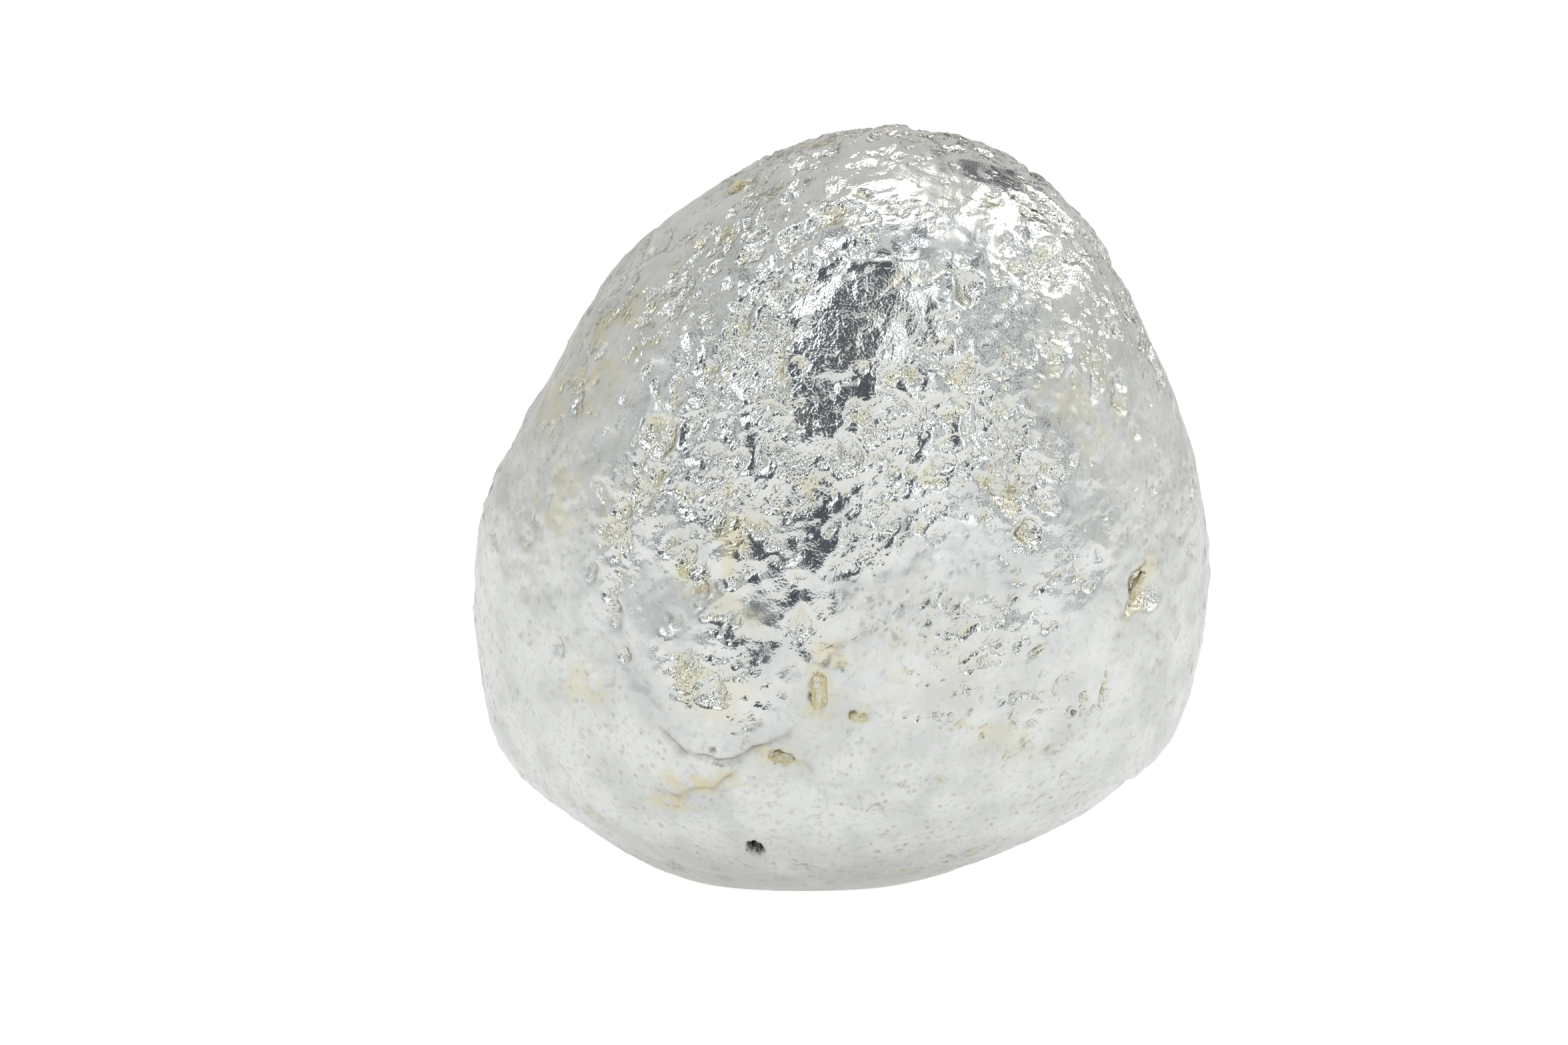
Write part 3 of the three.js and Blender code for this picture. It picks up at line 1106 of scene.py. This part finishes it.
    def _pit(self, base: np.ndarray, pit: Pit) -> tuple[np.ndarray, np.ndarray]:
        """One placed pit: depth times 1 - r^steep inside, and a lip round it at r = 1.12.

        Args:
            base: places on the plain form.
            pit: its place and sizes.

        Returns:
            Its heights, and 1 inside it fading to 0 at its edge.
        """
        skin_frame = self.form.tangent_frame(pit.longitude, pit.latitude, pit.turn)
        across, along = skin_frame.flat(base)
        reach = np.hypot(across / pit.across, along / pit.along)
        bowl = np.maximum(1.0 - reach**pit.steep, 0.0)
        lip = pit.lip * np.exp(-(((reach - 1.12) / 0.17) ** 2))
        return lip - pit.depth * bowl, 1.0 - ease(0.75, 1.1, reach)

    def _crease(self, base: np.ndarray, crease: Crease) -> tuple[np.ndarray, np.ndarray]:
        """A fold along the parabola through three places.

        The height is -depth times exp(-(r / width)^2), and the skin above the fold stands a
        step higher, fading over four widths. It dies out towards both ends.

        Args:
            base: places on the plain form.
            crease: its places and sizes.

        Returns:
            Its heights, and 1 on it fading to 0 beside it.
        """
        ends = np.stack([self.form.points(direction_at(*at)[None, :])[0] for at in crease.places])
        share = np.linspace(0.0, 1.0, self.crease_steps + 1)[:, None]
        start = (1 - share) * (1 - 2 * share)
        line = start * ends[0] + 4 * share * (1 - share) * ends[1]
        line += share * (2 * share - 1) * ends[2]
        reach = np.full(len(base), OUT_OF_REACH)
        where = np.zeros(len(base))
        above = np.zeros(len(base))
        for index, point in enumerate(line):
            gap = base - point
            far = np.linalg.norm(gap, axis=1)
            closer = far < reach
            reach = np.where(closer, far, reach)
            where = np.where(closer, index / self.crease_steps, where)
            above = np.where(closer, gap[:, 2], above)
        fade = ease(0.0, 0.25, where) * ease(0.0, 0.25, 1.0 - where)
        groove = np.exp(-((reach / crease.width) ** 2))
        shelf = np.exp(-((reach / (4 * crease.width)) ** 2))
        shelf *= ease(-0.5, 0.5, above / crease.width)
        return fade * (crease.step * shelf - crease.depth * groove), fade * groove


@dataclass
class Grain:
    """One grain of mineral in its seat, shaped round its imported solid's place."""

    node: str
    mineral: Mineral
    longitude: float
    latitude: float
    half: tuple[float, float, float]
    turn: float
    square: float
    gap: float = 0.03
    rings: int = 40
    segments: int = 56

    def _middle(self) -> np.ndarray:
        """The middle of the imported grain, in millimetres."""
        lowest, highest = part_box(self.node)
        return np.array(lowest + highest) / 2 / MM

    def seat(
        self,
        form: NuggetForm,
        base: np.ndarray,
        height: np.ndarray,
        hollow: np.ndarray,
        tarnish: np.ndarray,
    ) -> tuple[np.ndarray, np.ndarray, np.ndarray]:
        """Sinks the skin under the grain and stains it round its edge.

        Args:
            form: the lump's plain form.
            base: places on it, bent a little so that the seat is ragged.
            height: the relief so far.
            hollow: how hollow each place is so far.
            tarnish: how tarnished each place is so far.

        Returns:
            The relief, the hollowness and the tarnish with the seat.
        """
        place = form.tangent_frame(self.longitude, self.latitude, self.turn)
        across, along = place.flat(base)
        reach = np.hypot(across / (self.half[0] + self.gap), along / (self.half[1] + self.gap))
        inside = 1.0 - ease(0.85, 1.3, reach)
        sunk = float((place.centre - self._middle()) @ place.out)
        ragged = 0.07 * layered(base, 0.3, 2, 0.8, 81)
        floor = 0.35 * height - sunk + 0.3 * self.half[2] + ragged
        stained = 1.0 - ease(0.9, 2.0, reach + 0.35 * layered(base, 0.4, 2, 0.8, 82))
        sunken = height * (1 - inside) + floor * inside
        return sunken, np.maximum(hollow, 0.5 * inside), np.maximum(tarnish, 0.55 * stained)

    def build(self, form: NuggetForm, material: bpy.types.Material) -> bpy.types.Object:
        """Makes the grain: an ellipsoid squared off, broken into soft facets and roughened.

        With a and b the angles round and up, the direction (cos a cos b, sin a cos b, sin b)
        has each part raised to the power square with its sign kept, and is scaled by the half
        sizes. Facets and knobbles change it by a few hundredths.

        Args:
            form: the lump's plain form.
            material: its mineral's material.

        Returns:
            The finished piece.
        """
        around = np.linspace(0.0, 2 * math.pi, self.segments, endpoint=False)
        up = np.linspace(-math.pi / 2, math.pi / 2, self.rings + 1)[1:-1]
        a, b = np.meshgrid(around, up)
        level = np.cos(b)
        ball = np.stack((np.cos(a) * level, np.sin(a) * level, np.sin(b)), axis=-1).reshape(-1, 3)
        ball = np.vstack((ball, (0.0, 0.0, -1.0), (0.0, 0.0, 1.0)))
        squared = np.sign(ball) * np.abs(ball) ** self.square
        seed = 300 + int(abs(self.longitude) * 7 + abs(self.latitude) * 3)
        facets = np.minimum(nearest(ball + 5.0, 0.7, seed), 0.9)
        size = 0.78 + 0.24 * facets + 0.09 * layered(ball + 9.0, 0.5, 3, 0.8, seed)
        place = form.tangent_frame(self.longitude, self.latitude, self.turn)
        axes = np.stack((place.across, place.along, place.out))
        points = self._middle() + (squared * size[:, None] * np.array(self.half)) @ axes
        grain = new_piece(f"{self.node}_mineral", points, globe_faces(self.rings, self.segments))
        grain.data.materials.append(material)
        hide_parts(self.node)
        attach(grain, ROOT)
        report(grain)
        return grain


def globe_faces(rings: int, segments: int) -> list[tuple[int, ...]]:
    """The faces of a globe whose rings run upwards and whose last two vertices are the poles.

    Args:
        rings: bands between the poles.
        segments: steps round.

    Returns:
        Corner numbers, anticlockwise from outside.
    """
    inner = rings - 1
    row, column = np.meshgrid(np.arange(inner - 1), np.arange(segments), indexing="ij")
    here = (row * segments + column).ravel()
    beside = (row * segments + (column + 1) % segments).ravel()
    bands = np.column_stack((here, beside, beside + segments, here + segments))
    ring = np.arange(segments)
    beyond = (ring + 1) % segments
    last = (inner - 1) * segments
    bottom = np.column_stack((beyond, ring, np.full(segments, inner * segments)))
    top = np.column_stack((ring + last, beyond + last, np.full(segments, inner * segments + 1)))
    return [*map(tuple, bands.tolist()), *map(tuple, bottom.tolist()), *map(tuple, top.tolist())]


def new_piece(
    name: str, points: np.ndarray, faces: np.ndarray | list[tuple[int, ...]]
) -> bpy.types.Object:
    """A smooth-shaded mesh object at the origin.

    Args:
        name: the piece's name.
        points: places in millimetres.
        faces: corner numbers of each face.

    Returns:
        The new object.
    """
    mesh = bpy.data.meshes.new(name)
    listed = faces.tolist() if isinstance(faces, np.ndarray) else faces
    mesh.from_pydata((points * MM).tolist(), [], listed)
    mesh.polygons.foreach_set("use_smooth", np.ones(len(listed), bool))
    mesh.update()
    piece = bpy.data.objects.new(name, mesh)
    bpy.context.scene.collection.objects.link(piece)
    return piece


def store(piece: bpy.types.Object, name: str, values: np.ndarray) -> None:
    """Stores a number on every vertex."""
    attribute = piece.data.attributes.new(name, "FLOAT", "POINT")
    attribute.data.foreach_set("value", values.astype(np.float32))


def report(piece: bpy.types.Object) -> None:
    """Logs a piece's name and how many faces it has."""
    LOG.info("%s: %d faces", piece.name, len(piece.data.polygons))


# ---------------------------------------------------------------- the studio


@dataclass(frozen=True)
class SoftBox:
    """A square-cornered soft light that faces the lump."""

    name: str
    azimuth: float
    elevation: float
    distance: float
    width: float
    height: float
    radiance: float
    tint: Colour = (1.0, 1.0, 1.0)

    def build(self, middle: Vector) -> bpy.types.Object:
        """Makes the light. Its power is its radiance times pi times its area.

        Args:
            middle: the point that it faces.

        Returns:
            The light.
        """
        light = bpy.data.lights.new(self.name, "AREA")
        light.shape = "RECTANGLE"
        light.size, light.size_y = self.width, self.height
        light.energy = self.radiance * math.pi * self.width * self.height
        light.color = self.tint
        lamp = bpy.data.objects.new(self.name, light)
        away = Vector(direction_at(self.azimuth, self.elevation))
        lamp.location = middle + away * self.distance
        lamp.rotation_euler = away.to_track_quat("Z", "Y").to_euler()
        lamp.visible_camera = False
        bpy.context.scene.collection.objects.link(lamp)
        return lamp


@dataclass
class Studio:
    """A glowing white table, a dim room in front and light surroundings behind."""

    elevation: float = 6.0
    distance: float = 0.25
    lens: float = 191.3
    aim: tuple[float, float, float] = (-0.00174, 0.0, 0.01075)
    lens_radius: float = 0.026
    lens_gap: float = 0.004
    lens_colour: Colour = (0.01, 0.011, 0.013)
    room_dark: Colour = (0.11, 0.125, 0.15)
    room_light: Colour = (0.86, 0.88, 0.885)
    rear_light: Colour = (0.74, 0.735, 0.71)
    rear_dark: Colour = (0.16, 0.165, 0.18)
    floor_size: float = 6.0
    floor_glow: float = 0.92
    boxes: tuple[SoftBox, ...] = (
        SoftBox("overhead_box", 20, 80, 0.28, 0.18, 0.13, 2.6),
        SoftBox("left_box", -40, 34, 0.3, 0.08, 0.14, 2.3, (0.92, 0.965, 1.0)),
        SoftBox("right_box", 30, 24, 0.3, 0.05, 0.16, 2.5, (0.90, 0.955, 1.0)),
        SoftBox("right_rear_box", 98, 38, 0.3, 0.18, 0.12, 2.2, (1.0, 0.985, 0.95)),
    )

    def build(self) -> None:
        """Makes the camera, the floor, the surroundings and the lights."""
        camera = self._camera()
        self._floor()
        self._lens(camera)
        self._surroundings()
        for box in self.boxes:
            box.build(Vector(self.aim))
        scene = bpy.context.scene
        scene.view_settings.view_transform = "Standard"
        scene.view_settings.look = "None"

    def _camera(self) -> bpy.types.Object:
        """The camera, a little above the lump's middle and looking slightly down.

        Returns:
            The camera.
        """
        data = bpy.data.cameras.new("camera")
        data.lens = self.lens
        data.sensor_width = 36.0
        data.clip_start, data.clip_end = 0.001, 50.0
        camera = bpy.data.objects.new("camera", data)
        away = Vector(direction_at(0.0, self.elevation))
        camera.location = Vector(self.aim) + away * self.distance
        camera.rotation_euler = away.to_track_quat("Z", "Y").to_euler()
        bpy.context.scene.collection.objects.link(camera)
        bpy.context.scene.camera = camera
        return camera

    def _floor(self) -> None:
        """A plain white table top that glows evenly, as an acrylic light table does."""
        half = self.floor_size / 2 / MM
        corners = half * np.array(((-1, -1, 0), (1, -1, 0), (1, 1, 0), (-1, 1, 0)))
        floor = new_piece("white_table", corners, [(0, 1, 2, 3)])
        material, tree = new_material("white_table")
        tree.surface(
            {
                "Base Color": (0.12, 0.12, 0.12, 1.0),
                "Roughness": 0.6,
                "Emission Color": (1.0, 1.0, 0.995, 1.0),
                "Emission Strength": self.floor_glow,
            }
        )
        floor.data.materials.append(material)

    def _lens(self, camera: bpy.types.Object) -> None:
        """A dark disc round the camera, which the metal mirrors.

        Args:
            camera: what it stands in front of.
        """
        angle = np.linspace(0.0, 2 * math.pi, 48, endpoint=False)
        ring = np.column_stack((np.cos(angle), np.sin(angle), np.zeros(48)))
        disc = new_piece("lens_front", ring * self.lens_radius / MM, [tuple(range(48))])
        disc.location = camera.location + Vector(direction_at(0.0, self.elevation)) * self.lens_gap
        disc.rotation_euler = camera.rotation_euler
        disc.visible_camera = False
        material, tree = new_material("lens_front")
        tree.surface({"Base Color": (*self.lens_colour, 1.0), "Roughness": 0.5})
        disc.data.materials.append(material)

    def _surroundings(self) -> None:
        """White where it is seen directly; dim and patchy in front of the lump, light behind."""
        world = bpy.data.worlds.new("surroundings")
        bpy.context.scene.world = world
        world.use_nodes = True
        tree = Weaver(world.node_tree)
        way = tree.node("ShaderNodeTexCoord", output="Generated")
        behind = tree.node("ShaderNodeSeparateXYZ", {}, {0: way}, output=1).step(-0.35, 0.2)
        room = tree.noise(way, 0.4, 3.0, 0.6).step(0.42, 0.54)
        room = room * (1.0 - self._towards(tree, way, -9.0, 20.0, 24.0, 12.0))
        dim = tree.blend(room, self.room_dark, self.room_light)
        around = tree.blend(behind, dim, self.rear_light)
        gap = self._towards(tree, way, 139.0, 42.0, 16.0, 7.0)
        around = tree.blend(gap, around, self.rear_dark)
        seen = tree.node("ShaderNodeLightPath", output="Is Camera Ray")
        colour = tree.blend(seen, around, (1.0, 1.0, 1.0))
        glow = tree.node("ShaderNodeBackground", {}, {"Color": colour, "Strength": 1.0})
        tree.node("ShaderNodeOutputWorld", {}, {"Surface": glow})

    @staticmethod
    def _towards(
        tree: Weaver, way: Wire, azimuth: float, elevation: float, outer: float, inner: float
    ) -> Wire:
        """1 within the inner angle of a direction, fading to 0 at the outer angle.

        Args:
            tree: where the nodes go.
            way: the direction looked at.
            azimuth: degrees round from the front.
            elevation: degrees above the floor.
            outer: degrees.
            inner: degrees.

        Returns:
            The share.
        """
        middle = tuple(direction_at(azimuth, elevation))
        settings = {"operation": "DOT_PRODUCT"}
        near = tree.node("ShaderNodeVectorMath", settings, {0: way, 1: middle}, output="Value")
        return near.step(math.cos(math.radians(outer)), math.cos(math.radians(inner)))


def grains() -> tuple[Grain, ...]:
    """The eight grains, with half sizes across, along and through in millimetres."""
    return (
        Grain("bar_grain", Mineral.STRAW, -3.5, -12, (0.23, 0.58, 0.2), 0, 0.5),
        Grain("lath_grain", Mineral.AMBER, -9, -23, (0.18, 0.42, 0.17), 78, 0.75),
        Grain("oval_pit_grain", Mineral.OLIVE, 53, 0, (0.17, 0.6, 0.16), -43, 0.85, 0.14),
        Grain("shoulder_grain", Mineral.AMBER, -64.5, 64, (0.26, 0.34, 0.18), 20, 0.9),
        Grain("round_grain", Mineral.OLIVE, -25, 4.5, (0.18, 0.19, 0.16), 0, 1.0),
        Grain("tan_grain", Mineral.TAN, -22, 2, (0.16, 0.22, 0.15), -60, 0.9),
        Grain("ledge_grain", Mineral.STRAW, 3, -16.5, (0.14, 0.27, 0.14), 84, 0.8),
        Grain("wedge_grain", Mineral.STRAW, 0, -8, (0.13, 0.17, 0.13), 50, 0.8),
    )


def main() -> None:
    """Builds the lump, its grains and the studio."""
    logging.basicConfig(level=logging.INFO, format="%(message)s")
    form = NuggetForm()
    lodged = grains()
    NuggetBody(form, lodged).build()
    materials = {mineral: mineral.value.material() for mineral in Mineral}
    for grain in lodged:
        grain.build(form, materials[grain.mineral])
    Studio().build()


if __name__ == "__main__":
    main()
